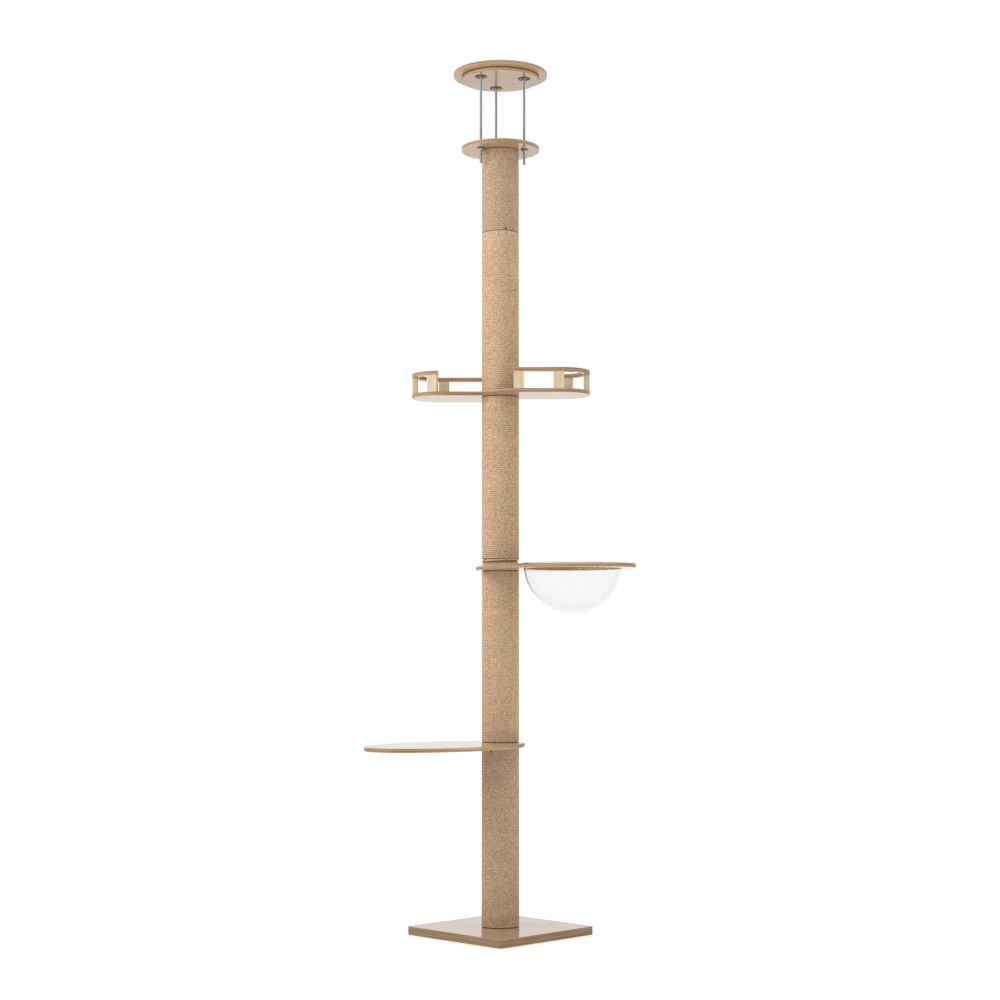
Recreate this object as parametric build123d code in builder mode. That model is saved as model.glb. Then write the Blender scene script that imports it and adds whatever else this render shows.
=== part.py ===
"""Floor-to-ceiling cat tree, in millimetres.

The origin is the centre of the base's underside, on the pole's axis, and +Z is up. The sides of
the base lie along X and Y. The oval platform reaches out along -Y, the bowl platform along +X,
and the S-shaped platform lies along the diagonal between +X and +Y.
"""
import os
from math import cos, radians, sin

from build123d import *

os.makedirs("parts", exist_ok=True)

# Base and pole
base_side = 400
base_thickness = 25
base_corner = 10
board_thickness = 12
board_edge_round = 0.8
pole_radius = 57.5
tube_radius = 52.5
tube_wall = 4
section_lengths = {1: 542, 2: 519, 3: 524, 4: 499, 5: 258}
plain_seam = 4
swivel_gap = 0.2

# Joinery inside the pole
plug_thickness = 18
insert_radius = 7
m10_radius = 5
m10_hole_radius = 5.5
m10_head_width = 17
m10_head_height = 6.4
m10_washer_radius = 15
m10_washer_thickness = 2
tack_head_radius = 3
tack_head_thickness = 1
tack_shank_radius = 1
tack_length = 9
tack_inset = 14
seam_tack_inset = 4

# Oval platform and bowl platform, which share one outline
oval_half_length = 285
oval_half_width = 171
oval_centre_reach = 228
bowl_reach = 302
bowl_radius = 145
bowl_wall = 3
bowl_hole_radius = 146.5
bowl_flange_radius = 157
bowl_seat_gap = 0.2

# S-shaped platform: two round-ended lobes, each shifted sideways from the pole
lobe_radius = 91
lobe_centre_reach = 183
lobe_shift = 41
bend_start = 70
bend_end = 45
rail_width = 19
rail_start = 40
rail_end_angle = 84
post_length = 32
post_width = 17
post_height = 52
near_post_reach = {"right": 56, "left": 40}
middle_post_reach = 177
far_post_angle = 72
screw_radius = 2
screw_head_radius = 4
screw_head_height = 3
screw_length = 40
dowel_radius = 3
dowel_depth = 8

# Tension head
pole_disc_radius = 120
subplate_radius = 120
ceiling_plate_radius = 145
ceiling_pad_radius = 142
ceiling_pad_thickness = 1.5
head_gap = 211
rod_circle_radius = 78.5
rod_start_angle = 25
rod_count = 3
rod_radius = 4
rod_hole_radius = 4.5
rod_below_disc = 49
socket_flange_radius = 18.5
socket_flange_thickness = 2
socket_neck_radius = 7
socket_neck_length = 11
socket_screw_circle = 13.5
socket_screw_count = 4
socket_screw_angle = 45
socket_screw_radius = 1.5
socket_screw_head_radius = 2.8
socket_screw_head_height = 1
socket_screw_length = 10
nut_width = 13
nut_height = 6.5
nut_bore_radius = 4.06
nut_gap = 0.1
rod_washer_radius = 12
rod_washer_bore_radius = 4.2
rod_washer_thickness = 1.6
plate_screw_circle = 40
plate_screw_length = 20

# Heights of the joints, from the floor up
section_bottom = {}
section_top = {}
level = base_thickness + swivel_gap
for number, length in section_lengths.items():
    section_bottom[number] = level
    section_top[number] = level + length
    level += length
    level += board_thickness + 2 * swivel_gap if number < plain_seam else swivel_gap
oval_bottom = section_top[1] + swivel_gap
bowl_board_bottom = section_top[2] + swivel_gap
s_board_bottom = section_top[3] + swivel_gap
pole_disc_bottom = section_top[5]
pole_disc_top = pole_disc_bottom + board_thickness
subplate_bottom = pole_disc_top + head_gap
plate_bottom = subplate_bottom + board_thickness
plate_top = plate_bottom + board_thickness
bowl_board_top = bowl_board_bottom + board_thickness
s_board_top = s_board_bottom + board_thickness
rail_bottom = s_board_top + post_height
rod_bottom = pole_disc_bottom - rod_below_disc
rod_top = subplate_bottom + socket_neck_length

# Directions seen from above: the S platform's long axis, and the two lobes' own X axes
lobe_directions = {"right": (1, 1, 0), "left": (-1, -1, 0)}


def save(builder, label):
    """Label a finished piece and write its file."""
    builder.part.label = label
    export_step(builder.part, f"parts/{label}.step")


def level_plane(height, direction=(1, 0, 0)):
    """A level plane at a height above the floor, with its X axis along a direction."""
    return Plane(origin=(0, 0, height), x_dir=direction, z_dir=(0, 0, 1))


def round_board_edges(builder):
    """Break the top and bottom edges of a board."""
    lower_rim = builder.faces().sort_by(Axis.Z)[0].edges()
    upper_rim = builder.faces().sort_by(Axis.Z)[-1].edges()
    fillet(lower_rim + upper_rim, board_edge_round)


# ---------------------------------------------------------------- base
with BuildPart() as base_board:
    with BuildSketch():
        RectangleRounded(base_side, base_side, base_corner)
    extrude(amount=base_thickness)
    round_board_edges(base_board)
    with BuildSketch(Plane.XY.offset(base_thickness - plug_thickness)):
        Circle(insert_radius)
    extrude(amount=plug_thickness, mode=Mode.SUBTRACT)
save(base_board, "base_board")

# ---------------------------------------------------------------- pole sections
tack_angles = {
    1: {"bottom": 120, "top": -75},
    2: {"bottom": 150, "top": 140},
    3: {"bottom": 100, "top": 160},
    4: {"bottom": 130, "top": 110},
    5: {"bottom": -28, "top": 150},
}


def tack_plane(number, end):
    """The plane where a tack's head meets the rope, facing out from the pole."""
    angle = radians(tack_angles[number][end])
    outward = (cos(angle), sin(angle), 0)
    inset = seam_tack_inset if (number, end) == (5, "bottom") else tack_inset
    height = section_bottom[number] + inset if end == "bottom" else section_top[number] - inset
    origin = (pole_radius * outward[0], pole_radius * outward[1], height)
    return Plane(origin=origin, z_dir=outward)


def sleeve(number, outer_radius, inner_radius):
    """A ring as long as one pole section, drilled for the tacks near its two ends."""
    with BuildPart() as ring:
        with BuildSketch(Plane.XY.offset(section_bottom[number])):
            Circle(outer_radius)
            Circle(inner_radius, mode=Mode.SUBTRACT)
        extrude(amount=section_lengths[number])
        for end in ("bottom", "top"):
            with BuildSketch(tack_plane(number, end)):
                Circle(tack_shank_radius)
            extrude(amount=-tack_length, mode=Mode.SUBTRACT)
    return ring


for number, length in section_lengths.items():
    foot = section_bottom[number]
    save(sleeve(number, tube_radius, tube_radius - tube_wall), f"tube_{number}")
    save(sleeve(number, pole_radius, tube_radius), f"rope_wrap_{number}")

    with BuildPart() as end_plugs:
        for plug_foot in (foot, foot + length - plug_thickness):
            with BuildSketch(Plane.XY.offset(plug_foot)):
                Circle(tube_radius - tube_wall)
                Circle(insert_radius, mode=Mode.SUBTRACT)
            extrude(amount=plug_thickness)
    save(end_plugs, f"end_plugs_{number}")

insert_bottoms = [base_thickness - plug_thickness]
for number in section_lengths:
    insert_bottoms += [section_bottom[number], section_top[number] - plug_thickness]
with BuildPart() as threaded_inserts:
    for insert_bottom in insert_bottoms:
        with BuildSketch(Plane.XY.offset(insert_bottom)):
            Circle(insert_radius)
            Circle(m10_radius, mode=Mode.SUBTRACT)
        extrude(amount=plug_thickness)
save(threaded_inserts, "threaded_inserts")

# Each stud joins a section to the one above it, and the first one joins it to the base
joint_tops = section_bottom.values()
joint_bottoms = [base_thickness] + list(section_top.values())[:-1]
with BuildPart() as joining_studs:
    for joint_bottom, joint_top in zip(joint_bottoms, joint_tops):
        with BuildSketch(Plane.XY.offset(joint_bottom - plug_thickness)):
            Circle(m10_radius)
        extrude(amount=joint_top - joint_bottom + 2 * plug_thickness)
save(joining_studs, "joining_studs")

with BuildPart() as rope_tacks:
    for number in section_lengths:
        for end in ("bottom", "top"):
            head_plane = tack_plane(number, end)
            with BuildSketch(head_plane):
                Circle(tack_head_radius)
            extrude(amount=tack_head_thickness)
            with BuildSketch(head_plane):
                Circle(tack_shank_radius)
            extrude(amount=-tack_length)
save(rope_tacks, "rope_tacks")

# ---------------------------------------------------------------- oval platform
with BuildPart() as oval_board:
    with BuildSketch(Plane.XY.offset(oval_bottom)):
        with Locations((0, -oval_centre_reach)):
            Ellipse(oval_half_width, oval_half_length)
    extrude(amount=board_thickness)
    round_board_edges(oval_board)
    with BuildSketch(Plane.XY.offset(oval_bottom)):
        Circle(m10_hole_radius)
    extrude(amount=board_thickness, mode=Mode.SUBTRACT)
save(oval_board, "oval_board")

# ---------------------------------------------------------------- bowl platform
with BuildPart() as bowl_board:
    with BuildSketch(Plane.XY.offset(bowl_board_bottom)):
        with Locations((oval_centre_reach, 0)):
            Ellipse(oval_half_length, oval_half_width)
        with Locations((bowl_reach, 0)):
            Circle(bowl_hole_radius, mode=Mode.SUBTRACT)
    extrude(amount=board_thickness)
    round_board_edges(bowl_board)
    with BuildSketch(Plane.XY.offset(bowl_board_bottom)):
        Circle(m10_hole_radius)
    extrude(amount=board_thickness, mode=Mode.SUBTRACT)
save(bowl_board, "bowl_board")

bowl_rim_plane = Plane(
    origin=(bowl_reach, 0, bowl_board_top + bowl_seat_gap), x_dir=(1, 0, 0), z_dir=(0, -1, 0)
)
bowl_inner_radius = bowl_radius - bowl_wall
with BuildPart() as bowl:
    with BuildSketch(bowl_rim_plane):
        with BuildLine():
            CenterArc((0, 0), bowl_radius, 270, 90)
            Polyline(
                (bowl_radius, 0),
                (bowl_flange_radius, 0),
                (bowl_flange_radius, bowl_wall),
                (bowl_inner_radius, bowl_wall),
                (bowl_inner_radius, 0),
            )
            CenterArc((0, 0), bowl_inner_radius, 270, 90)
            Line((0, -bowl_inner_radius), (0, -bowl_radius))
        make_face()
    revolve(axis=Axis((bowl_reach, 0, 0), (0, 0, 1)))
save(bowl, "bowl")

# ---------------------------------------------------------------- S-shaped platform
near_edge = lobe_shift + lobe_radius
inner_edge = lobe_radius - lobe_shift
bend_middle_x = (bend_end - bend_start) / 2
bend_middle_y = (near_edge + inner_edge) / 2


def post_spots(side):
    """Centre and turn of each post under one lobe's rail, in the lobe's own plane."""
    rail_line = near_edge - rail_width / 2
    rail_arc = lobe_radius - rail_width / 2
    far_angle = radians(far_post_angle)
    far_x = lobe_centre_reach + rail_arc * cos(far_angle)
    far_y = -lobe_shift + rail_arc * sin(far_angle)
    return [
        ((near_post_reach[side], -rail_line), 0),
        ((middle_post_reach, -rail_line), 0),
        ((lobe_centre_reach + rail_arc, -lobe_shift), 90),
        ((far_x, far_y), far_post_angle + 90),
    ]


def rail_outline():
    """A curved rail in its lobe's plane: a straight run beside the pole, then round the end."""
    centre = (lobe_centre_reach, -lobe_shift)
    inner_radius = lobe_radius - rail_width
    Line((rail_start, -near_edge), (lobe_centre_reach, -near_edge))
    outer_arc = CenterArc(centre, lobe_radius, -90, 90 + rail_end_angle)
    inner_arc = CenterArc(centre, inner_radius, -90, 90 + rail_end_angle)
    Line(outer_arc @ 1, inner_arc @ 1)
    Polyline(inner_arc @ 0, (rail_start, -near_edge + rail_width), (rail_start, -near_edge))


with BuildPart() as s_board:
    with BuildSketch(level_plane(s_board_bottom, lobe_directions["right"])):
        with BuildLine():
            for side in (1, -1):
                bend_foot = (-side * bend_start, -side * inner_edge)
                bend_middle = (side * bend_middle_x, -side * bend_middle_y)
                bend_head = (side * bend_end, -side * near_edge)
                first_bend = TangentArc(bend_foot, bend_middle, tangent=(side, 0))
                TangentArc(bend_middle, bend_head, tangent=first_bend % 1)
                Line(bend_head, (side * lobe_centre_reach, -side * near_edge))
                lobe_centre = (side * lobe_centre_reach, -side * lobe_shift)
                CenterArc(lobe_centre, lobe_radius, -90 * side, 180)
                inner_start = (side * lobe_centre_reach, side * inner_edge)
                Line(inner_start, (side * bend_start, side * inner_edge))
        make_face()
    extrude(amount=board_thickness)
    round_board_edges(s_board)
    with BuildSketch(Plane.XY.offset(s_board_bottom)):
        Circle(m10_hole_radius)
    extrude(amount=board_thickness, mode=Mode.SUBTRACT)
    for side, direction in lobe_directions.items():
        for spot, turn in post_spots(side):
            with BuildSketch(level_plane(s_board_bottom, direction)):
                with Locations(spot):
                    Circle(screw_radius)
            extrude(amount=board_thickness, mode=Mode.SUBTRACT)
            with BuildSketch(level_plane(s_board_bottom, direction)):
                with Locations(spot):
                    Circle(screw_head_radius)
            extrude(amount=screw_head_height, mode=Mode.SUBTRACT)
save(s_board, "s_board")

for side, direction in lobe_directions.items():
    with BuildPart() as rail:
        with BuildSketch(level_plane(rail_bottom, direction)):
            with BuildLine():
                rail_outline()
            make_face()
        extrude(amount=board_thickness)
        round_board_edges(rail)
        with BuildSketch(level_plane(rail_bottom, direction)):
            for spot, turn in post_spots(side):
                with Locations(spot):
                    Circle(dowel_radius)
        extrude(amount=dowel_depth, mode=Mode.SUBTRACT)
    save(rail, f"{side}_rail")

    for number, (spot, turn) in enumerate(post_spots(side), start=1):
        with BuildPart() as post:
            with BuildSketch(level_plane(s_board_top, direction)):
                with Locations(spot):
                    Rectangle(post_length, post_width, rotation=turn)
            extrude(amount=post_height)
            fillet(post.edges().filter_by(Axis.Z), 1)
            with BuildSketch(level_plane(s_board_top, direction)):
                with Locations(spot):
                    Circle(screw_radius)
            extrude(amount=screw_length - board_thickness, mode=Mode.SUBTRACT)
            with BuildSketch(level_plane(rail_bottom, direction)):
                with Locations(spot):
                    Circle(dowel_radius)
            extrude(amount=-dowel_depth, mode=Mode.SUBTRACT)
        save(post, f"{side}_post_{number}")

with BuildPart() as post_screws:
    for side, direction in lobe_directions.items():
        for spot, turn in post_spots(side):
            with BuildSketch(level_plane(s_board_bottom, direction)):
                with Locations(spot):
                    Circle(screw_head_radius)
            extrude(amount=screw_head_height)
            with BuildSketch(level_plane(s_board_bottom, direction)):
                with Locations(spot):
                    Circle(screw_radius)
            extrude(amount=screw_length)
save(post_screws, "post_screws")

with BuildPart() as rail_dowels:
    for side, direction in lobe_directions.items():
        with BuildSketch(level_plane(rail_bottom - dowel_depth, direction)):
            for spot, turn in post_spots(side):
                with Locations(spot):
                    Circle(dowel_radius)
        extrude(amount=2 * dowel_depth)
save(rail_dowels, "rail_dowels")

# ---------------------------------------------------------------- disc on top of the pole
with BuildPart() as pole_disc:
    with BuildSketch(Plane.XY.offset(pole_disc_bottom)):
        Circle(pole_disc_radius)
    extrude(amount=board_thickness)
    round_board_edges(pole_disc)
    with BuildSketch(Plane.XY.offset(pole_disc_bottom)):
        Circle(m10_hole_radius)
        with PolarLocations(rod_circle_radius, rod_count, rod_start_angle):
            Circle(rod_hole_radius)
    extrude(amount=board_thickness, mode=Mode.SUBTRACT)
save(pole_disc, "pole_disc")

with BuildPart() as pole_disc_bolt:
    with BuildSketch(Plane.XY.offset(pole_disc_bottom - plug_thickness)):
        Circle(m10_radius)
    extrude(amount=plug_thickness + board_thickness + m10_washer_thickness)
    with BuildSketch(Plane.XY.offset(pole_disc_top + m10_washer_thickness)):
        RegularPolygon(radius=m10_head_width / 2, side_count=6, major_radius=False)
    extrude(amount=m10_head_height)
save(pole_disc_bolt, "pole_disc_bolt")

with BuildPart() as pole_disc_washer:
    with BuildSketch(Plane.XY.offset(pole_disc_top)):
        Circle(m10_washer_radius)
        Circle(m10_radius, mode=Mode.SUBTRACT)
    extrude(amount=m10_washer_thickness)
save(pole_disc_washer, "pole_disc_washer")

with BuildPart() as rod_washers:
    for washer_foot in (pole_disc_bottom - rod_washer_thickness, pole_disc_top):
        with BuildSketch(Plane.XY.offset(washer_foot)):
            with PolarLocations(rod_circle_radius, rod_count, rod_start_angle):
                Circle(rod_washer_radius)
                Circle(rod_washer_bore_radius, mode=Mode.SUBTRACT)
        extrude(amount=rod_washer_thickness)
save(rod_washers, "rod_washers")

# ---------------------------------------------------------------- rods, nuts and sockets
adjusting_nut_bottom = pole_disc_top + rod_washer_thickness + nut_gap
lock_nut_bottom = pole_disc_bottom - rod_washer_thickness - nut_gap - nut_height

for number in range(1, rod_count + 1):
    rod_angle = rod_start_angle + (number - 1) * 360 / rod_count
    rod_spot = (
        rod_circle_radius * cos(radians(rod_angle)),
        rod_circle_radius * sin(radians(rod_angle)),
    )

    with BuildPart() as rod:
        with BuildSketch(Plane.XY.offset(rod_bottom)):
            with Locations(rod_spot):
                Circle(rod_radius)
        extrude(amount=rod_top - rod_bottom)
        chamfer(rod.edges().filter_by(GeomType.CIRCLE), rod_radius / 5)
    save(rod, f"threaded_rod_{number}")

    with BuildPart() as rod_socket:
        with BuildSketch(Plane.XY.offset(subplate_bottom - socket_flange_thickness)):
            with Locations(rod_spot):
                Circle(socket_flange_radius)
        extrude(amount=socket_flange_thickness)
        with BuildSketch(Plane.XY.offset(subplate_bottom)):
            with Locations(rod_spot):
                Circle(socket_neck_radius)
        extrude(amount=socket_neck_length)
        with BuildSketch(Plane.XY.offset(subplate_bottom - socket_flange_thickness)):
            with Locations(rod_spot):
                Circle(rod_radius)
            with Locations(Location((*rod_spot, 0), rod_angle)):
                with PolarLocations(socket_screw_circle, socket_screw_count, socket_screw_angle):
                    Circle(socket_screw_radius)
        extrude(amount=socket_flange_thickness + socket_neck_length, mode=Mode.SUBTRACT)
    save(rod_socket, f"rod_socket_{number}")

    for nut_name, nut_bottom in (
        ("adjusting_nut", adjusting_nut_bottom),
        ("lock_nut", lock_nut_bottom),
    ):
        with BuildPart() as nut:
            with BuildSketch(Plane.XY.offset(nut_bottom)):
                with Locations(rod_spot):
                    RegularPolygon(radius=nut_width / 2, side_count=6, major_radius=False)
                    Circle(nut_bore_radius, mode=Mode.SUBTRACT)
            extrude(amount=nut_height)
        save(nut, f"{nut_name}_{number}")

# ---------------------------------------------------------------- ceiling plates
with BuildPart() as ceiling_subplate:
    with BuildSketch(Plane.XY.offset(subplate_bottom)):
        Circle(subplate_radius)
    extrude(amount=board_thickness)
    round_board_edges(ceiling_subplate)
    with BuildSketch(Plane.XY.offset(subplate_bottom)):
        with PolarLocations(rod_circle_radius, rod_count, rod_start_angle):
            Circle(socket_neck_radius)
            with PolarLocations(socket_screw_circle, socket_screw_count, socket_screw_angle):
                Circle(socket_screw_radius)
    extrude(amount=socket_neck_length, mode=Mode.SUBTRACT)
    with BuildSketch(Plane.XY.offset(plate_top - plate_screw_length)):
        with PolarLocations(plate_screw_circle, rod_count, rod_start_angle):
            Circle(screw_radius)
    extrude(amount=plate_screw_length - board_thickness, mode=Mode.SUBTRACT)
save(ceiling_subplate, "ceiling_subplate")

with BuildPart() as ceiling_plate:
    with BuildSketch(Plane.XY.offset(plate_bottom)):
        Circle(ceiling_plate_radius)
    extrude(amount=board_thickness)
    round_board_edges(ceiling_plate)
    with BuildSketch(Plane.XY.offset(plate_bottom)):
        with PolarLocations(plate_screw_circle, rod_count, rod_start_angle):
            Circle(screw_radius)
    extrude(amount=board_thickness, mode=Mode.SUBTRACT)
    with BuildSketch(Plane.XY.offset(plate_top)):
        with PolarLocations(plate_screw_circle, rod_count, rod_start_angle):
            Circle(screw_head_radius)
    extrude(amount=-screw_head_height, mode=Mode.SUBTRACT)
save(ceiling_plate, "ceiling_plate")

with BuildPart() as plate_screws:
    with BuildSketch(Plane.XY.offset(plate_top)):
        with PolarLocations(plate_screw_circle, rod_count, rod_start_angle):
            Circle(screw_radius)
    extrude(amount=-plate_screw_length)
    with BuildSketch(Plane.XY.offset(plate_top)):
        with PolarLocations(plate_screw_circle, rod_count, rod_start_angle):
            Circle(screw_head_radius)
    extrude(amount=-screw_head_height)
save(plate_screws, "plate_screws")

flange_face = subplate_bottom - socket_flange_thickness
with BuildPart() as socket_screws:
    with BuildSketch(Plane.XY.offset(flange_face)):
        with PolarLocations(rod_circle_radius, rod_count, rod_start_angle):
            with PolarLocations(socket_screw_circle, socket_screw_count, socket_screw_angle):
                Circle(socket_screw_radius)
    extrude(amount=socket_screw_length)
    with BuildSketch(Plane.XY.offset(flange_face)):
        with PolarLocations(rod_circle_radius, rod_count, rod_start_angle):
            with PolarLocations(socket_screw_circle, socket_screw_count, socket_screw_angle):
                Circle(socket_screw_head_radius)
    extrude(amount=-socket_screw_head_height)
save(socket_screws, "socket_screws")

with BuildPart() as ceiling_pad:
    with BuildSketch(Plane.XY.offset(plate_top)):
        Circle(ceiling_pad_radius)
    extrude(amount=ceiling_pad_thickness)
save(ceiling_pad, "ceiling_pad")
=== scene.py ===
"""Looks of the floor-to-ceiling cat tree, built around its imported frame. All sizes are in metres."""
import math

import bpy
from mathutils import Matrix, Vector, noise


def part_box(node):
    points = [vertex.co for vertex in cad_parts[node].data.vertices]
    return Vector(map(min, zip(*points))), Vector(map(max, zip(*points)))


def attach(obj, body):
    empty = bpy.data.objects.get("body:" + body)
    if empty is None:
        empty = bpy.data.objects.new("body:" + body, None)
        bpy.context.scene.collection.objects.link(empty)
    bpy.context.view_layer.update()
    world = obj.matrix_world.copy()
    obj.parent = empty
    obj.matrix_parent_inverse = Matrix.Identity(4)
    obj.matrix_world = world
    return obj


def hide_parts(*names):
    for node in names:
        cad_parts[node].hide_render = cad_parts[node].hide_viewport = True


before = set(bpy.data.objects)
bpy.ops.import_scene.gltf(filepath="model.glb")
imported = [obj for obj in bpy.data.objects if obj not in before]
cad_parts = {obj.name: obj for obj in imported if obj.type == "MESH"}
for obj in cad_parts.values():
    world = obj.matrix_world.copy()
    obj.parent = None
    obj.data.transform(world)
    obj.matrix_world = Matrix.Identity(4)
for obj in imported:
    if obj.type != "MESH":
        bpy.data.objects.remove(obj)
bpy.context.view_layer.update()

TURN = 2 * math.pi
MM = 0.001

# Camera: its distance from the pole's axis, its height, its upward tilt in radians, its lens and
# sensor in millimetres, and its step to the right
CAMERA_DISTANCE = 6.025
CAMERA_HEIGHT = 0.8855
CAMERA_TILT = 0.0716
CAMERA_LENS = 70.77
CAMERA_SENSOR = 36
CAMERA_FAR = 200
CAMERA_AZIMUTH = math.radians(45)
CAMERA_SIDE_STEP = -1.2 * MM

# Key light, to the left of the camera and above it
KEY_AZIMUTH = CAMERA_AZIMUTH - math.radians(66)
KEY_DISTANCE = 2.9
KEY_HEIGHT = 2.8
KEY_AIM_HEIGHT = 2.0
KEY_SIZE = (1.8, 2.4)
KEY_POWER = 22
KEY_SPREAD = math.radians(120)
KEY_COLOUR = (0.94, 0.97, 1.0)

# Floor
FLOOR_REACH = 60
FLOOR_DROP = 0.2 * MM
FLOOR_GLOW = 0.56

# Rope wrap. Each strand starts on the pole's far side, and CROSSING is the share of a turn in which
# a level turn steps up to the next. Turns become evenly slanted over EASING_TURNS from each end.
ROPE_PITCH = 5.6 * MM
ROPE_BED_RADIUS = 52.7 * MM
ROPE_STEPS_PER_TURN = 72
ROPE_END_GAP = 1.2 * MM
ROPE_CLEARANCE = 0.1 * MM
ROPE_GROOVE = 1.4 * MM
ROPE_DENT = 0.15 * MM
ROPE_DRIFT = 1.1 * MM
ROPE_DRIFT_FADE = 20 * MM
ROPE_ARC = [math.radians(angle) for angle in (-85, -45, 0, 45, 85)]
ROPE_BED_SHARE = 0.9
ROPE_ROWS = len(ROPE_ARC) + 2
STRAND_LAY = 9.0 * MM
FAR_SIDE = math.radians(135)
CROSSING = 0.17
EASING_TURNS = 6
LOOSE_TURNS = 2
LOOSE_PITCH = 12 * MM

# Threads. The helix starts ROD_TURNS_BELOW turns under the rod and, past each end, draws in to the
# axis over ROD_CLOSING, which closes the rod.
ROD_PITCH = 1.25 * MM
ROD_ROOT_DEPTH = 0.68 * MM
ROD_CHAMFER = 0.9 * MM
ROD_CLEARANCE = 0.02 * MM
ROD_SIDES = 20
ROD_CLOSING = 0.9 * ROD_PITCH
ROD_TURNS_BELOW = 2
ROD_TURNS_EXTRA = 3
THREAD_DEPTHS = [0.0, 0.25, 1.0, 0.75]

# Nuts. The chamfer starts at NUT_FACE_SHARE of the width across flats, on both end faces.
NUT_SEGMENTS = 96
NUT_BORE = 4.06 * MM
NUT_SINK = 0.5 * MM
NUT_CHAMFER_SLOPE = 1.732
NUT_FACE_SHARE = 0.96
NUT_LEVELS = (0.35 * MM, 0.75 * MM)

# Bowl
BOWL_WALL = 3 * MM
BOWL_SEAT_GAP = 0.2 * MM
BOWL_ROUND_OFF = 1.2 * MM
BOWL_RINGS = 64
BOWL_SEGMENTS = 256
BOWL_RIM_STEPS = 6
BOWL_LIP_STEPS = 4


def linear(red, green, blue):
    """A display colour from 0 to 255 as linear light with alpha."""

    def channel(value):
        value /= 255
        return value / 12.92 if value <= 0.04045 else ((value + 0.055) / 1.055) ** 2.4

    return (channel(red), channel(green), channel(blue), 1)


# ------------------------------------------------------------------ material helpers
class Recipe:
    """A new node material with short calls for its nodes."""

    def __init__(self, name):
        self.material = bpy.data.materials.new(name)
        self.material.use_nodes = True
        self.tree = self.material.node_tree
        self.shader = self.tree.nodes["Principled BSDF"]
        coordinates = self.tree.nodes.new("ShaderNodeTexCoord")
        self.place = coordinates.outputs["Object"]
        self.normal = coordinates.outputs["Normal"]
        self.uv = coordinates.outputs["UV"]

    def node(self, kind, **settings):
        made = self.tree.nodes.new("ShaderNode" + kind)
        for key, value in settings.items():
            setattr(made, key, value)
        return made

    def join(self, source, target):
        self.tree.links.new(source, target)

    def fill(self, socket, value):
        if isinstance(value, bpy.types.NodeSocket):
            self.join(value, socket)
        else:
            socket.default_value = value

    def stretched(self, vector, scale, turn=0.0):
        """Coordinates turned about Z and then stretched."""
        turned = self.node("Mapping")
        turned.inputs["Rotation"].default_value = (0, 0, turn)
        self.join(vector, turned.inputs["Vector"])
        scaled = self.node("Mapping")
        scaled.inputs["Scale"].default_value = scale
        self.join(turned.outputs["Vector"], scaled.inputs["Vector"])
        return scaled.outputs["Vector"]

    def noise(self, vector, scale, detail=3.0, roughness=0.55, distortion=0.0):
        made = self.node("TexNoise")
        self.join(vector, made.inputs["Vector"])
        made.inputs["Scale"].default_value = scale
        made.inputs["Detail"].default_value = detail
        made.inputs["Roughness"].default_value = roughness
        made.inputs["Distortion"].default_value = distortion
        return made.outputs["Fac"]

    def ramp(self, factor, *stops):
        made = self.node("ValToRGB")
        elements = made.color_ramp.elements
        while len(elements) < len(stops):
            elements.new(0.5)
        for element, (position, colour) in zip(elements, stops):
            element.position = position
            element.color = colour
        self.join(factor, made.inputs["Fac"])
        return made.outputs["Color"]

    def maths(self, operation, first, second=0.5, third=0.5):
        made = self.node("Math", operation=operation)
        for socket, value in zip(made.inputs, (first, second, third)):
            self.fill(socket, value)
        return made.outputs["Value"]

    def span(self, value, low, high, new_low=0.0, new_high=1.0):
        """A value's range carried over to a new one, held at both ends."""
        made = self.node("MapRange")
        made.clamp = True
        self.join(value, made.inputs["Value"])
        limits = {"From Min": low, "From Max": high, "To Min": new_low, "To Max": new_high}
        for key, number in limits.items():
            made.inputs[key].default_value = number
        return made.outputs["Result"]

    def mix(self, factor, first, second, blend="MIX"):
        made = self.node("Mix", data_type="RGBA", blend_type=blend)
        self.fill(made.inputs[0], factor)
        self.fill(made.inputs[6], first)
        self.fill(made.inputs[7], second)
        return made.outputs[2]

    def split(self, vector):
        made = self.node("SeparateXYZ")
        self.join(vector, made.inputs["Vector"])
        return made.outputs

    def bump(self, height, strength, distance):
        made = self.node("Bump")
        self.join(height, made.inputs["Height"])
        made.inputs["Strength"].default_value = strength
        made.inputs["Distance"].default_value = distance
        self.join(made.outputs["Normal"], self.shader.inputs["Normal"])

    def surface(self, **values):
        for key, value in values.items():
            self.fill(self.shader.inputs[key.replace("_", " ")], value)
        return self.material


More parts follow.
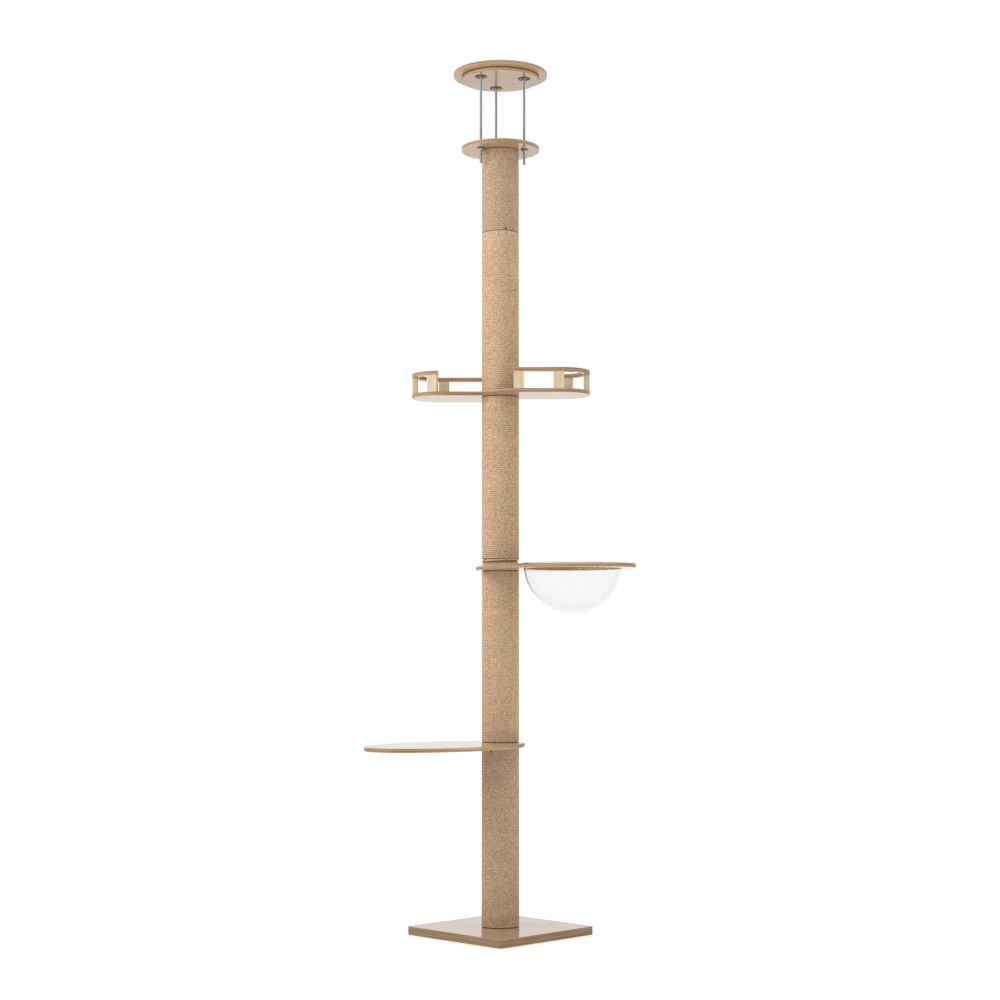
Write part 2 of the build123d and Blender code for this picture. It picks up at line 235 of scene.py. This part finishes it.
def oak_board(name, grain_turn, gap_height=None, edge_shade=1.0):
    """Glossy tan oak laminate with a matt edge band.

    gap_height paints a dark shadow line along the top of the edge, just under that height. edge_shade
    makes the whole edge darker or lighter, partly as the band's own tone and partly as painted shade and
    painted light.
    """
    recipe = Recipe(name)
    flatness = recipe.maths("ABSOLUTE", recipe.split(recipe.normal)["Z"])
    face_mask = recipe.span(flatness, 0.55, 0.9)

    along = recipe.stretched(recipe.place, (1.6, 26, 26), grain_turn)
    streaks = recipe.noise(along, 3.2, detail=6, roughness=0.6, distortion=0.6)
    face = recipe.ramp(
        streaks,
        (0.30, linear(162, 131, 97)),
        (0.46, linear(172, 142, 108)),
        (0.58, linear(178, 149, 116)),
        (0.74, linear(168, 137, 103)),
    )
    pores = recipe.noise(recipe.stretched(recipe.place, (14, 420, 420), grain_turn), 1.0, detail=2)
    pore_mask = recipe.span(pores, 0.62, 0.72, 0, 0.12)
    face = recipe.mix(pore_mask, face, linear(126, 96, 66))

    band_lines = recipe.noise(recipe.stretched(recipe.place, (5, 5, 240)), 1.0, detail=4)
    band = recipe.ramp(
        band_lines,
        (0.34, linear(131, 97, 62)),
        (0.50, linear(162, 128, 90)),
        (0.66, linear(186, 155, 118)),
    )
    # Painted light and shade on the edge band, together with its own tone: edge_shade scales the whole
    # band.
    band = recipe.mix(1.0, band, (edge_shade, edge_shade, edge_shade, 1), "MULTIPLY")
    # Painted shadow: the top few millimetres of the edge go dark where the plate above overhangs this
    # board.
    if gap_height is not None:
        height = recipe.split(recipe.place)["Z"]
        gap_shadow = recipe.span(height, gap_height - 2.9 * MM, gap_height - 2.3 * MM)
        band = recipe.mix(gap_shadow, band, linear(52, 33, 18))
    colour = recipe.mix(face_mask, band, face)

    roughness = recipe.span(face_mask, 0, 1, 0.6, 0.14)
    coat = recipe.span(face_mask, 0, 1, 0, 0.15)
    recipe.bump(streaks, 0.05, 0.2 * MM)
    return recipe.surface(Base_Color=colour, Roughness=roughness, Coat_Weight=coat, Coat_Roughness=0.1)


def birch(name):
    """Sanded pale plywood with upright grain and a matt lacquer."""
    recipe = Recipe(name)
    upright = recipe.stretched(recipe.place, (150, 150, 9))
    grain = recipe.noise(upright, 1.0, detail=5, roughness=0.62, distortion=0.4)
    tone = recipe.ramp(
        grain,
        (0.30, linear(188, 163, 132)),
        (0.48, linear(205, 183, 153)),
        (0.64, linear(214, 195, 168)),
        (0.80, linear(196, 172, 141)),
    )
    plies = recipe.noise(recipe.stretched(recipe.place, (330, 330, 3)), 1.0, detail=1)
    tone = recipe.mix(recipe.span(plies, 0.62, 0.74, 0, 0.35), tone, linear(172, 142, 108))
    recipe.bump(grain, 0.2, 0.1 * MM)
    return recipe.surface(Base_Color=tone, Roughness=0.55)


def rope_fibre(name, shade):
    """Twisted natural fibre. U runs across the rope, V along it in metres."""
    recipe = Recipe(name)
    across, along = recipe.split(recipe.uv)["X"], recipe.split(recipe.uv)["Y"]
    slip = recipe.maths("MULTIPLY", recipe.noise(recipe.place, 45, detail=2), 1.6)
    slant = recipe.maths("MULTIPLY_ADD", across, 1.5, slip)
    lay = recipe.maths("MULTIPLY_ADD", along, 1 / STRAND_LAY, slant)
    wave = recipe.maths("SINE", recipe.maths("MULTIPLY", lay, TURN))
    strand = recipe.span(wave, -1, 1)
    fibres = recipe.noise(recipe.stretched(recipe.uv, (9, 700, 1)), 1.0, detail=4, roughness=0.7)
    dashes = recipe.noise(recipe.stretched(recipe.place, (150, 150, 340)), 1.0, detail=3, roughness=0.6)
    patches = recipe.noise(recipe.place, 24, detail=4, roughness=0.6)
    tone = recipe.ramp(
        fibres,
        (0.28, linear(178, 147, 115)),
        (0.50, linear(200, 170, 138)),
        (0.74, linear(219, 193, 163)),
    )
    tone = recipe.mix(recipe.span(dashes, 0.50, 0.66, 0, 0.72), tone, linear(143, 109, 75))
    tone = recipe.mix(recipe.span(dashes, 0.48, 0.34, 0, 0.58), tone, linear(230, 205, 173))
    tone = recipe.mix(recipe.span(patches, 0.42, 0.68, 0, 0.2), tone, linear(168, 135, 102))
    # Painted shade: the tone darkens in the valleys between the rope's plies.
    groove_shade = recipe.span(strand, 0.0, 0.35, 0.4, 0.0)
    tone = recipe.mix(groove_shade, tone, linear(134, 103, 72))
    # shade darkens or lightens the whole rope: partly its own tone, partly painted shade and painted
    # light.
    tone = recipe.mix(1.0, tone, (shade, shade, shade, 1), "MULTIPLY")
    height = recipe.maths("MULTIPLY_ADD", fibres, 0.35, strand)
    recipe.bump(height, 0.7, 0.6 * MM)
    return recipe.surface(Base_Color=tone, Roughness=0.8)


def pressed_paper(name, low, high, roughness):
    """Matt paper or fibreboard with a fine fleck."""
    recipe = Recipe(name)
    fleck = recipe.noise(recipe.place, 260, detail=4, roughness=0.7)
    winding = recipe.noise(recipe.stretched(recipe.place, (8, 8, 90)), 1.0, detail=2)
    tone = recipe.ramp(fleck, (0.3, low), (0.7, high))
    tone = recipe.mix(recipe.span(winding, 0.45, 0.6, 0, 0.25), tone, low)
    recipe.bump(fleck, 0.3, 0.15 * MM)
    return recipe.surface(Base_Color=tone, Roughness=roughness)


def zinc(name, tint, low_roughness, high_roughness):
    """Bright zinc plating, slightly uneven."""
    recipe = Recipe(name)
    cloud = recipe.noise(recipe.place, 240, detail=4, roughness=0.6)
    dark = tuple(0.8 * value for value in tint[:3]) + (1,)
    tone = recipe.ramp(cloud, (0.35, dark), (0.65, tint))
    roughness = recipe.span(cloud, 0.3, 0.7, low_roughness, high_roughness)
    recipe.bump(recipe.noise(recipe.place, 900, detail=2), 0.05, 0.05 * MM)
    return recipe.surface(Base_Color=tone, Roughness=roughness, Metallic=1.0)


def lacquer(name):
    """Beige lacquered steel with a faint orange peel."""
    recipe = Recipe(name)
    peel = recipe.noise(recipe.place, 500, detail=2)
    tone = recipe.ramp(peel, (0.35, linear(84, 62, 43)), (0.65, linear(98, 74, 52)))
    recipe.bump(peel, 0.12, 0.08 * MM)
    return recipe.surface(Base_Color=tone, Roughness=0.55, Specular_IOR_Level=0.25)


def acrylic(name):
    """Clear moulded acrylic, tinted very faintly, and more where the wall is seen edge on."""
    recipe = Recipe(name)
    marks = recipe.noise(recipe.place, 38, detail=5, roughness=0.7)
    middle = recipe.ramp(marks, (0.3, linear(250, 250, 250)), (0.7, linear(251, 251, 251)))
    grazing = recipe.node("LayerWeight").outputs["Facing"]
    tint = recipe.mix(recipe.maths("POWER", grazing, 3.0), middle, linear(236, 237, 237))
    return recipe.surface(
        Base_Color=tint,
        Roughness=0.0,
        IOR=1.04,
        Transmission_Weight=1.0,
    )


def foam(name):
    """Thin grey non-slip foam with closed cells."""
    recipe = Recipe(name)
    cells = recipe.node("TexVoronoi")
    recipe.join(recipe.place, cells.inputs["Vector"])
    cells.inputs["Scale"].default_value = 620
    depth = cells.outputs["Distance"]
    tone = recipe.ramp(depth, (0.0, linear(52, 52, 54)), (0.7, linear(84, 84, 87)))
    recipe.bump(depth, 0.4, 0.3 * MM)
    return recipe.surface(Base_Color=tone, Roughness=0.85)


# ------------------------------------------------------------------ mesh helpers
def make_piece(name, points, faces, body, material, stands_for, smooth_angle=None):
    """A mesh piece on a body, in place of CAD nodes. smooth_angle is in degrees."""
    mesh = bpy.data.meshes.new(name)
    mesh.from_pydata([tuple(point) for point in points], [], faces)
    mesh.update()
    piece = bpy.data.objects.new(name, mesh)
    bpy.context.scene.collection.objects.link(piece)
    mesh.materials.append(material)
    if smooth_angle is not None:
        mesh.polygons.foreach_set("use_smooth", [True] * len(mesh.polygons))
        mesh.set_sharp_from_angle(angle=math.radians(smooth_angle))
    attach(piece, body)
    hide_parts(*stands_for)
    return piece


def node_middle(node):
    """The middle of a CAD node's box, and the box itself."""
    low, high = (Vector(corner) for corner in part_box(node))
    return (low + high) / 2, low, high


def lathe(profile, centre, segments):
    """Points and faces of a closed profile of (radius, height) turned about an upright axis."""
    points, rings = [], []
    for radius, height in profile:
        count = segments if radius > 0 else 1
        rings.append(range(len(points), len(points) + count))
        for step in range(count):
            angle = TURN * step / segments
            x = centre.x + radius * math.cos(angle)
            y = centre.y + radius * math.sin(angle)
            points.append((x, y, height))
    faces = []
    for lower, upper in zip(rings, rings[1:] + rings[:1]):
        for step in range(segments):
            after = (step + 1) % segments
            if len(lower) == 1 and len(upper) == 1:
                break
            if len(lower) == 1:
                faces.append((lower[0], upper[after], upper[step]))
            elif len(upper) == 1:
                faces.append((lower[step], lower[after], upper[0]))
            else:
                faces.append((lower[step], lower[after], upper[after], upper[step]))
    return points, faces


# ------------------------------------------------------------------ pieces
def wobble(x, y, z):
    """Smooth seedless unevenness between about -1 and 1."""
    return noise.noise(Vector((x, y, z)))


def climb(turn, turns, open_turns):
    """How many pitches the strand has risen after this many turns.

    Near both ends a close turn lies level and steps up behind the pole. Others rise evenly.
    """
    whole = math.floor(turn)
    part = turn - whole
    step_up = max(0.0, (part - 1 + CROSSING) / CROSSING)
    level = step_up * step_up * (3 - 2 * step_up)
    from_end = min(turn, turns - turn)
    evenness = 1.0 if turn < open_turns else min(1.0, from_end / EASING_TURNS)
    return whole + level + (part - level) * evenness


def strand_section(radius, dent):
    """The strand's cross-section as (reach from the axis, rise): a round back on a flat bed."""
    half_width = ROPE_PITCH / 2
    crest = radius - ROPE_CLEARANCE - dent
    section = [(crest - ROPE_GROOVE * (1 - math.cos(t)), half_width * math.sin(t)) for t in ROPE_ARC]
    section.append((ROPE_BED_RADIUS, ROPE_BED_SHARE * half_width))
    section.append((ROPE_BED_RADIUS, -ROPE_BED_SHARE * half_width))
    return section


def strand_points(centre, low, high, open_turns, open_pitch):
    """Rings of points along a strand wound from low to high, and the number of steps between rings."""
    radius = (high.x - low.x) / 2
    first = low.z + ROPE_END_GAP + ROPE_PITCH / 2
    last = high.z - ROPE_END_GAP - ROPE_PITCH / 2
    close_rise = last - first - open_turns * open_pitch
    close_turns = round(close_rise / ROPE_PITCH)
    close_pitch = close_rise / close_turns
    turns = open_turns + close_turns + 1
    steps = round((turns - CROSSING) * ROPE_STEPS_PER_TURN)

    points = []
    for step in range(steps + 1):
        angle = FAR_SIDE + TURN * (step / ROPE_STEPS_PER_TURN + CROSSING / 2)
        turn = climb(step / ROPE_STEPS_PER_TURN, turns, open_turns)
        height = first + min(turn, open_turns) * open_pitch + max(turn - open_turns, 0) * close_pitch
        side_x, side_y = math.cos(angle), math.sin(angle)
        fade = min(1, min(height - first, last - height) / ROPE_DRIFT_FADE)
        drift = ROPE_DRIFT * wobble(1.3 * side_x, 1.3 * side_y, 24 * height) * fade
        dent = ROPE_DENT * (1 + wobble(6 * side_x, 6 * side_y, 170 * height))
        for reach, rise in strand_section(radius, dent):
            place = min(max(height + rise + drift, low.z), high.z)
            points.append((centre.x + reach * side_x, centre.y + reach * side_y, place))
    return points, steps


def strand_faces(steps):
    """Faces round the strand, from ring to ring, and one across each end."""
    faces = []
    for step in range(steps):
        for row in range(ROPE_ROWS):
            after = (row + 1) % ROPE_ROWS
            here = step * ROPE_ROWS
            there = here + ROPE_ROWS
            faces.append((here + row, there + row, there + after, here + after))
    faces.append(tuple(range(ROPE_ROWS))[::-1])
    faces.append(tuple(steps * ROPE_ROWS + row for row in range(ROPE_ROWS)))
    return faces


def rope_section(number, open_turns=0, open_pitch=0.0):
    """One section's rope, wound close round its tube as a single rising strand.

    The first open_turns are further apart, at open_pitch.
    """
    node = f"rope_wrap_{number}"
    centre, low, high = node_middle(node)
    points, steps = strand_points(centre, low, high, open_turns, open_pitch)
    faces = strand_faces(steps)
    name = f"wound_rope_{number}"
    piece = make_piece(name, points, faces, "stand", ROPES[number], [node], smooth_angle=75)
    lay_rope_uv(piece.data, steps, ROPE_ROWS, TURN * (high.x - low.x) / 2 / ROPE_STEPS_PER_TURN)


def lay_rope_uv(mesh, steps, rows, step_length):
    """U round the strand's section, V along the strand in metres."""
    layer = mesh.uv_layers.new(name="strand")
    values = []
    for step in range(steps):
        near, far = step * step_length, (step + 1) * step_length
        for row in range(rows):
            left, right = row / rows, (row + 1) / rows
            values += (left, near, left, far, right, far, right, near)
    values += [0.0, 0.0] * (len(layer.data) - len(values) // 2)
    layer.data.foreach_set("uv", values)


def rod_points(centre, low, high, steps):
    """Points along the thread's helix, a column of them at each step."""
    radius = (high.x - low.x) / 2 - ROD_CLEARANCE
    rows = len(THREAD_DEPTHS)
    points = []
    for step in range(steps + 1):
        angle = TURN * step / ROD_SIDES
        for row, depth in enumerate(THREAD_DEPTHS):
            height = low.z + ROD_PITCH * (step / ROD_SIDES + row / rows - ROD_TURNS_BELOW)
            past_end = max(low.z - height, height - high.z, 0.0)
            inside = max(min(height - low.z, high.z - height), 0.0)
            reach = min(radius - ROD_ROOT_DEPTH * depth, radius - ROD_CHAMFER + inside)
            reach *= max(0.0, 1 - past_end / ROD_CLOSING)
            held = min(max(height, low.z), high.z)
            points.append((centre.x + reach * math.cos(angle), centre.y + reach * math.sin(angle), held))
    return points


def threaded_rod(number):
    """An M8 rod whose lattice follows the helix of its thread."""
    node = f"threaded_rod_{number}"
    centre, low, high = node_middle(node)
    rows = len(THREAD_DEPTHS)
    turns = math.ceil((high.z - low.z) / ROD_PITCH) + ROD_TURNS_EXTRA
    steps = turns * ROD_SIDES
    points = rod_points(centre, low, high, steps)
    faces = []
    for step in range(steps):
        for row in range(rows):
            lower = step * rows + row
            upper = lower + 1 if row + 1 < rows else (step + ROD_SIDES) * rows
            if upper + rows < len(points):
                faces.append((lower, lower + rows, upper + rows, upper))
    name = f"threaded_rod_m8_{number}"
    make_piece(name, points, faces, "ceiling_head", ROD_ZINC, [node], 50)


def hexagon_radius(angle, flat, corner_first):
    """Distance from the middle of a hexagon to its edge, with a corner or a flat at angle 0."""
    offset = 0.0 if corner_first else TURN / 12
    return flat / math.cos((angle + offset) % (TURN / 6) - TURN / 12)


def nut_points(centre, low, high):
    """Rings of points up the outside of a nut and back down its bore, and the number of rings."""
    wide, deep = (high.x - low.x) / 2, (high.y - low.y) / 2
    flat = min(wide, deep)
    height = high.z - low.z
    outer_levels = [0.0, *NUT_LEVELS, *(height - level for level in reversed(NUT_LEVELS)), height]
    rows = [(NUT_BORE + NUT_SINK, 0.0)]
    rows += [(None, level) for level in outer_levels]
    rows += [(NUT_BORE + NUT_SINK, height), (NUT_BORE, height - NUT_SINK), (NUT_BORE, NUT_SINK)]
    points = []
    for reach, level in rows:
        limit = NUT_FACE_SHARE * flat + NUT_CHAMFER_SLOPE * min(level, height - level)
        for step in range(NUT_SEGMENTS):
            angle = TURN * step / NUT_SEGMENTS
            rim = min(hexagon_radius(angle, flat, wide > deep), limit)
            here = rim if reach is None else reach
            x = centre.x + here * math.cos(angle)
            y = centre.y + here * math.sin(angle)
            points.append((x, y, low.z + level))
    return points, len(rows)


def hex_nut(node, body):
    """A hexagon nut with both outer corners chamfered and the bore countersunk."""
    centre, low, high = node_middle(node)
    points, rows = nut_points(centre, low, high)
    faces = []
    for row in range(rows):
        here = row * NUT_SEGMENTS
        above = (row + 1) % rows * NUT_SEGMENTS
        for step in range(NUT_SEGMENTS):
            after = (step + 1) % NUT_SEGMENTS
            faces.append((here + step, here + after, above + after, above + step))
    make_piece(f"{node}_hex", points, faces, body, ZINC, [node], 24)


def bowl_profile(low, high):
    """The bowl's section as (radius, height): up the outside, round the rim and down the inside."""
    rim_reach = (high.x - low.x) / 2
    rim_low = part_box("bowl_board")[1].z + BOWL_SEAT_GAP
    rim_high = high.z
    outer = rim_low - low.z
    inner = outer - BOWL_WALL

    profile = [(0.0, low.z)]
    for step in range(1, BOWL_RINGS + 1):
        angle = math.pi / 2 * (1 - step / BOWL_RINGS)
        profile.append((outer * math.cos(angle), rim_low - outer * math.sin(angle)))
    for step in range(BOWL_RIM_STEPS + 1):
        angle = -math.pi / 2 + math.pi * step / BOWL_RIM_STEPS
        lift = rim_low + (rim_high - rim_low) * (1 + math.sin(angle)) / 2
        profile.append((rim_reach - BOWL_ROUND_OFF * (1 - math.cos(angle)), lift))
    for step in range(BOWL_LIP_STEPS + 1):
        angle = math.pi / 2 * step / BOWL_LIP_STEPS
        lift = rim_high - BOWL_WALL * (1 - math.cos(angle))
        profile.append((inner + BOWL_WALL * (1 - math.sin(angle)), lift))
    depth = inner - BOWL_SEAT_GAP
    for step in range(1, BOWL_RINGS + 1):
        angle = math.pi / 2 * step / BOWL_RINGS
        profile.append((inner * math.cos(angle), rim_high - BOWL_WALL - depth * math.sin(angle)))
    profile[-1] = (0.0, profile[-1][1])
    return profile


def bowl_dish():
    """The clear bowl: a thin half sphere with a flat rim that rests on its board."""
    centre, low, high = node_middle("bowl")
    points, faces = lathe(bowl_profile(low, high), centre, BOWL_SEGMENTS)
    make_piece("clear_bowl", points, faces, "bowl_dish", ACRYLIC, ["bowl"], 45)


# ------------------------------------------------------------------ materials in use
SLOPED = -math.radians(45)
# The edge_shade factors below are partly each edge band's own tone and partly painted light and shade:
# the base's edge is darkened, the S board's slightly darkened, and the bowl board's, oval's and discs'
# edges are lightened.
OAK_ALONG_X = oak_board("oak_laminate_along_x", 0, edge_shade=1.08)
OAK_BASE = oak_board("oak_laminate_base", 0, edge_shade=0.68)
OAK_ALONG_Y = oak_board("oak_laminate_along_y", -math.radians(90), edge_shade=1.1)
OAK_SLOPED = oak_board("oak_laminate_sloped", SLOPED, edge_shade=0.93)
OAK_DISCS = oak_board("oak_laminate_discs", SLOPED, edge_shade=1.16)
# The subplate's edge gets a painted shadow line under the ceiling plate.
OAK_SUBPLATE = oak_board("oak_laminate_subplate", SLOPED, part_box("ceiling_subplate")[1].z, 1.16)
BIRCH = birch("birch_plywood")
# Painted light and shade per rope section, on top of the rope's own tone: the lowest section, in the
# oval board's shadow, and the top section are darkened, and the second and fourth are lightened.
ROPE_SHADES = {1: 0.88, 2: 1.04, 3: 1.01, 4: 1.03, 5: 0.9}
ROPES = {number: rope_fibre(f"twisted_rope_{number}", shade) for number, shade in ROPE_SHADES.items()}
CARD = pressed_paper("card_tube", linear(134, 104, 74), linear(160, 128, 94), 0.8)
FIBREBOARD = pressed_paper("fibreboard", linear(168, 136, 98), linear(190, 160, 120), 0.85)
ZINC = zinc("bright_zinc", linear(206, 212, 218), 0.16, 0.34)
ROD_ZINC = zinc("rod_zinc", linear(192, 198, 202), 0.3, 0.42)
# Painted shade: the tacks are tinted a dark brown steel, partly their own dark steel and partly the
# shade they sit in on the rope.
TACK_STEEL = zinc("tack_steel", linear(96, 84, 72), 0.4, 0.55)
WASHER_STEEL = zinc("washer_steel", linear(124, 111, 96), 0.36, 0.5)
SOCKET = lacquer("socket_lacquer")
ACRYLIC = acrylic("clear_acrylic")
PAD = foam("grip_foam")

SIDES = ("left", "right")
POSTS = [f"{side}_post_{number}" for side in SIDES for number in range(1, 5)]
FINISHES = (
    (OAK_ALONG_X, "oak_laminate", ["bowl_board"]),
    (OAK_BASE, "oak_laminate", ["base_board"]),
    (OAK_ALONG_Y, "oak_laminate", ["oval_board"]),
    (OAK_SLOPED, "oak_laminate", ["s_board", "left_rail", "right_rail"]),
    (OAK_DISCS, "oak_laminate", ["pole_disc", "ceiling_plate"]),
    (OAK_SUBPLATE, "oak_laminate", ["ceiling_subplate"]),
    (BIRCH, "birch", POSTS + ["rail_dowels"]),
    (CARD, "card_tube", [f"tube_{number}" for number in range(1, 6)]),
    (FIBREBOARD, "plug_board", [f"end_plugs_{number}" for number in range(1, 6)]),
    (ZINC, "zinc_steel", ["threaded_inserts", "joining_studs", "pole_disc_bolt"]),
    (TACK_STEEL, "zinc_steel", ["rope_tacks"]),
    (WASHER_STEEL, "zinc_steel", ["rod_washers"]),
    (ZINC, "zinc_steel", ["pole_disc_washer", "plate_screws", "socket_screws", "post_screws"]),
    (SOCKET, "socket_metal", [f"rod_socket_{number}" for number in (1, 2, 3)]),
    (PAD, "grip_pad", ["ceiling_pad"]),
)
for finish, slot_name, names in FINISHES:
    for name in names:
        cad_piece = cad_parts[name]
        cad_piece.data.materials.clear()
        cad_piece.data.materials.append(finish)

for section in (1, 2, 4, 5):
    rope_section(section)
rope_section(3, open_turns=LOOSE_TURNS, open_pitch=LOOSE_PITCH)
for index in (1, 2, 3):
    threaded_rod(index)
    hex_nut(f"adjusting_nut_{index}", f"adjusting_nut_{index}_body")
    hex_nut(f"lock_nut_{index}", f"lock_nut_{index}_body")
bowl_dish()


# ------------------------------------------------------------------ floor, light and camera
def white_floor():
    """A pale floor under and around the tree, bright enough to leave only a faint shadow."""
    mesh = bpy.data.meshes.new("floor")
    corners = [(-1, -1), (1, -1), (1, 1), (-1, 1)]
    points = [(FLOOR_REACH * x, FLOOR_REACH * y, -FLOOR_DROP) for x, y in corners]
    mesh.from_pydata(points, [], [(0, 1, 2, 3)])
    floor = bpy.data.objects.new("floor", mesh)
    bpy.context.scene.collection.objects.link(floor)
    recipe = Recipe("floor_paint")
    speckle = recipe.noise(recipe.place, 40, detail=2)
    tone = recipe.ramp(speckle, (0.3, (0.44, 0.44, 0.44, 1)), (0.7, (0.46, 0.46, 0.46, 1)))
    white = (1, 1, 1, 1)
    recipe.surface(Base_Color=tone, Roughness=0.7, Emission_Color=white, Emission_Strength=FLOOR_GLOW)
    mesh.materials.append(recipe.material)


def white_world():
    """An even white surround."""
    world = bpy.data.worlds.new("white_room")
    world.use_nodes = True
    background = world.node_tree.nodes["Background"]
    background.inputs["Color"].default_value = (1, 1, 1, 1)
    background.inputs["Strength"].default_value = 1.0
    bpy.context.scene.world = world


def key_softbox():
    """A rectangular light that faces the pole's axis. Azimuth 0 would stand on the -Y side."""
    light = bpy.data.lights.new("key_softbox", "AREA")
    light.shape = "RECTANGLE"
    light.size, light.size_y = KEY_SIZE
    light.spread = KEY_SPREAD
    light.color = KEY_COLOUR
    light.energy = KEY_POWER
    lamp = bpy.data.objects.new("key_softbox", light)
    along_x = KEY_DISTANCE * math.sin(KEY_AZIMUTH)
    along_y = -KEY_DISTANCE * math.cos(KEY_AZIMUTH)
    lamp.location = (along_x, along_y, KEY_HEIGHT)
    lamp.rotation_mode = "QUATERNION"
    aim = Vector((0, 0, KEY_AIM_HEIGHT)) - lamp.location
    lamp.rotation_quaternion = aim.to_track_quat("-Z", "Y")
    bpy.context.scene.collection.objects.link(lamp)


def photo_camera():
    """The camera, 45 degrees round from the -Y side, low down and looking slightly up."""
    data = bpy.data.cameras.new("camera")
    data.sensor_width = CAMERA_SENSOR
    data.lens = CAMERA_LENS
    data.clip_end = CAMERA_FAR
    data.dof.use_dof = False
    camera = bpy.data.objects.new("camera", data)
    back = Vector((math.sin(CAMERA_AZIMUTH), -math.cos(CAMERA_AZIMUTH), 0))
    right = Vector((math.cos(CAMERA_AZIMUTH), math.sin(CAMERA_AZIMUTH), 0))
    raised = Vector((0, 0, CAMERA_HEIGHT))
    camera.location = CAMERA_DISTANCE * back + CAMERA_SIDE_STEP * right + raised
    ahead = math.sin(CAMERA_TILT) * Vector((0, 0, 1)) - math.cos(CAMERA_TILT) * back
    camera.rotation_mode = "QUATERNION"
    camera.rotation_quaternion = ahead.to_track_quat("-Z", "Y")
    bpy.context.scene.collection.objects.link(camera)
    bpy.context.scene.camera = camera


white_floor()
white_world()
key_softbox()
photo_camera()
bpy.context.scene.view_settings.view_transform = "Standard"
